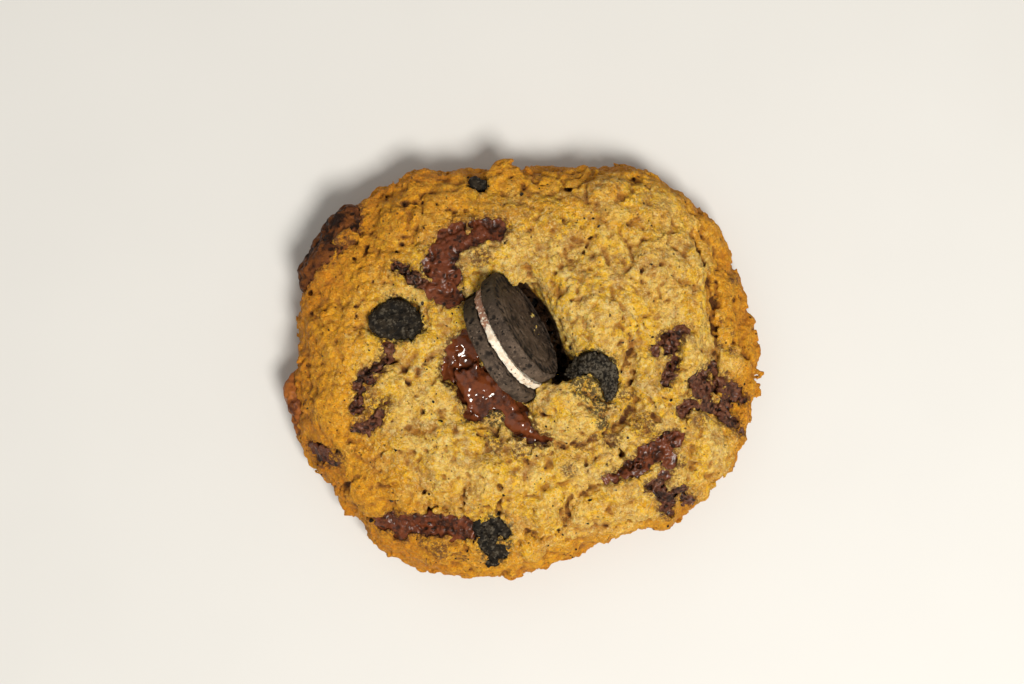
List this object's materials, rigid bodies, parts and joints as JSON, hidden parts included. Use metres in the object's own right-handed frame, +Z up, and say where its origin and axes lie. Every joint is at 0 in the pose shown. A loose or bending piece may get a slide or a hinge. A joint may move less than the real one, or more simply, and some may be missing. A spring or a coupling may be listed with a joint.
{
  "type": "cookies and cream cookie",
  "caption": "thick soft-baked cookie with a cracked golden dome, melted chocolate pieces, broken dark biscuit and a mini cream sandwich biscuit standing on edge in the middle",
  "frame": {"origin": "middle of the cookie's flat underside, at the bottom centre of its bounding box", "axes": "+X along the cookie's longest side, +Y across it, +Z up out of the domed top"},
  "size_m": [0.106, 0.0917, 0.0385],
  "materials": {
    "dough": null,
    "wafer": null,
    "cream": null,
    "biscuit": null,
    "chocolate": null
  },
  "bodies": {
    "root": {"cookie_dough": "dough", "mini_wafer_left": "wafer", "mini_cream": "cream", "mini_wafer_right": "wafer", "biscuit_chunk_left": "biscuit", "biscuit_chunk_right": "biscuit", "biscuit_chunk_bottom": "biscuit", "biscuit_chip_top": "biscuit", "chocolate_pool": "chocolate", "chocolate_crescent": "chocolate", "chocolate_spur": "chocolate", "chocolate_left": "chocolate", "chocolate_lower_left": "chocolate", "chocolate_inner_right": "chocolate", "chocolate_right": "chocolate", "chocolate_ledge": "chocolate", "chocolate_streak": "chocolate", "chocolate_bottom_right": "chocolate", "chocolate_edge_upper_left": "chocolate", "chocolate_edge_left": "chocolate", "chocolate_edge_lower_left": "chocolate"}
  },
  "joints": []
}
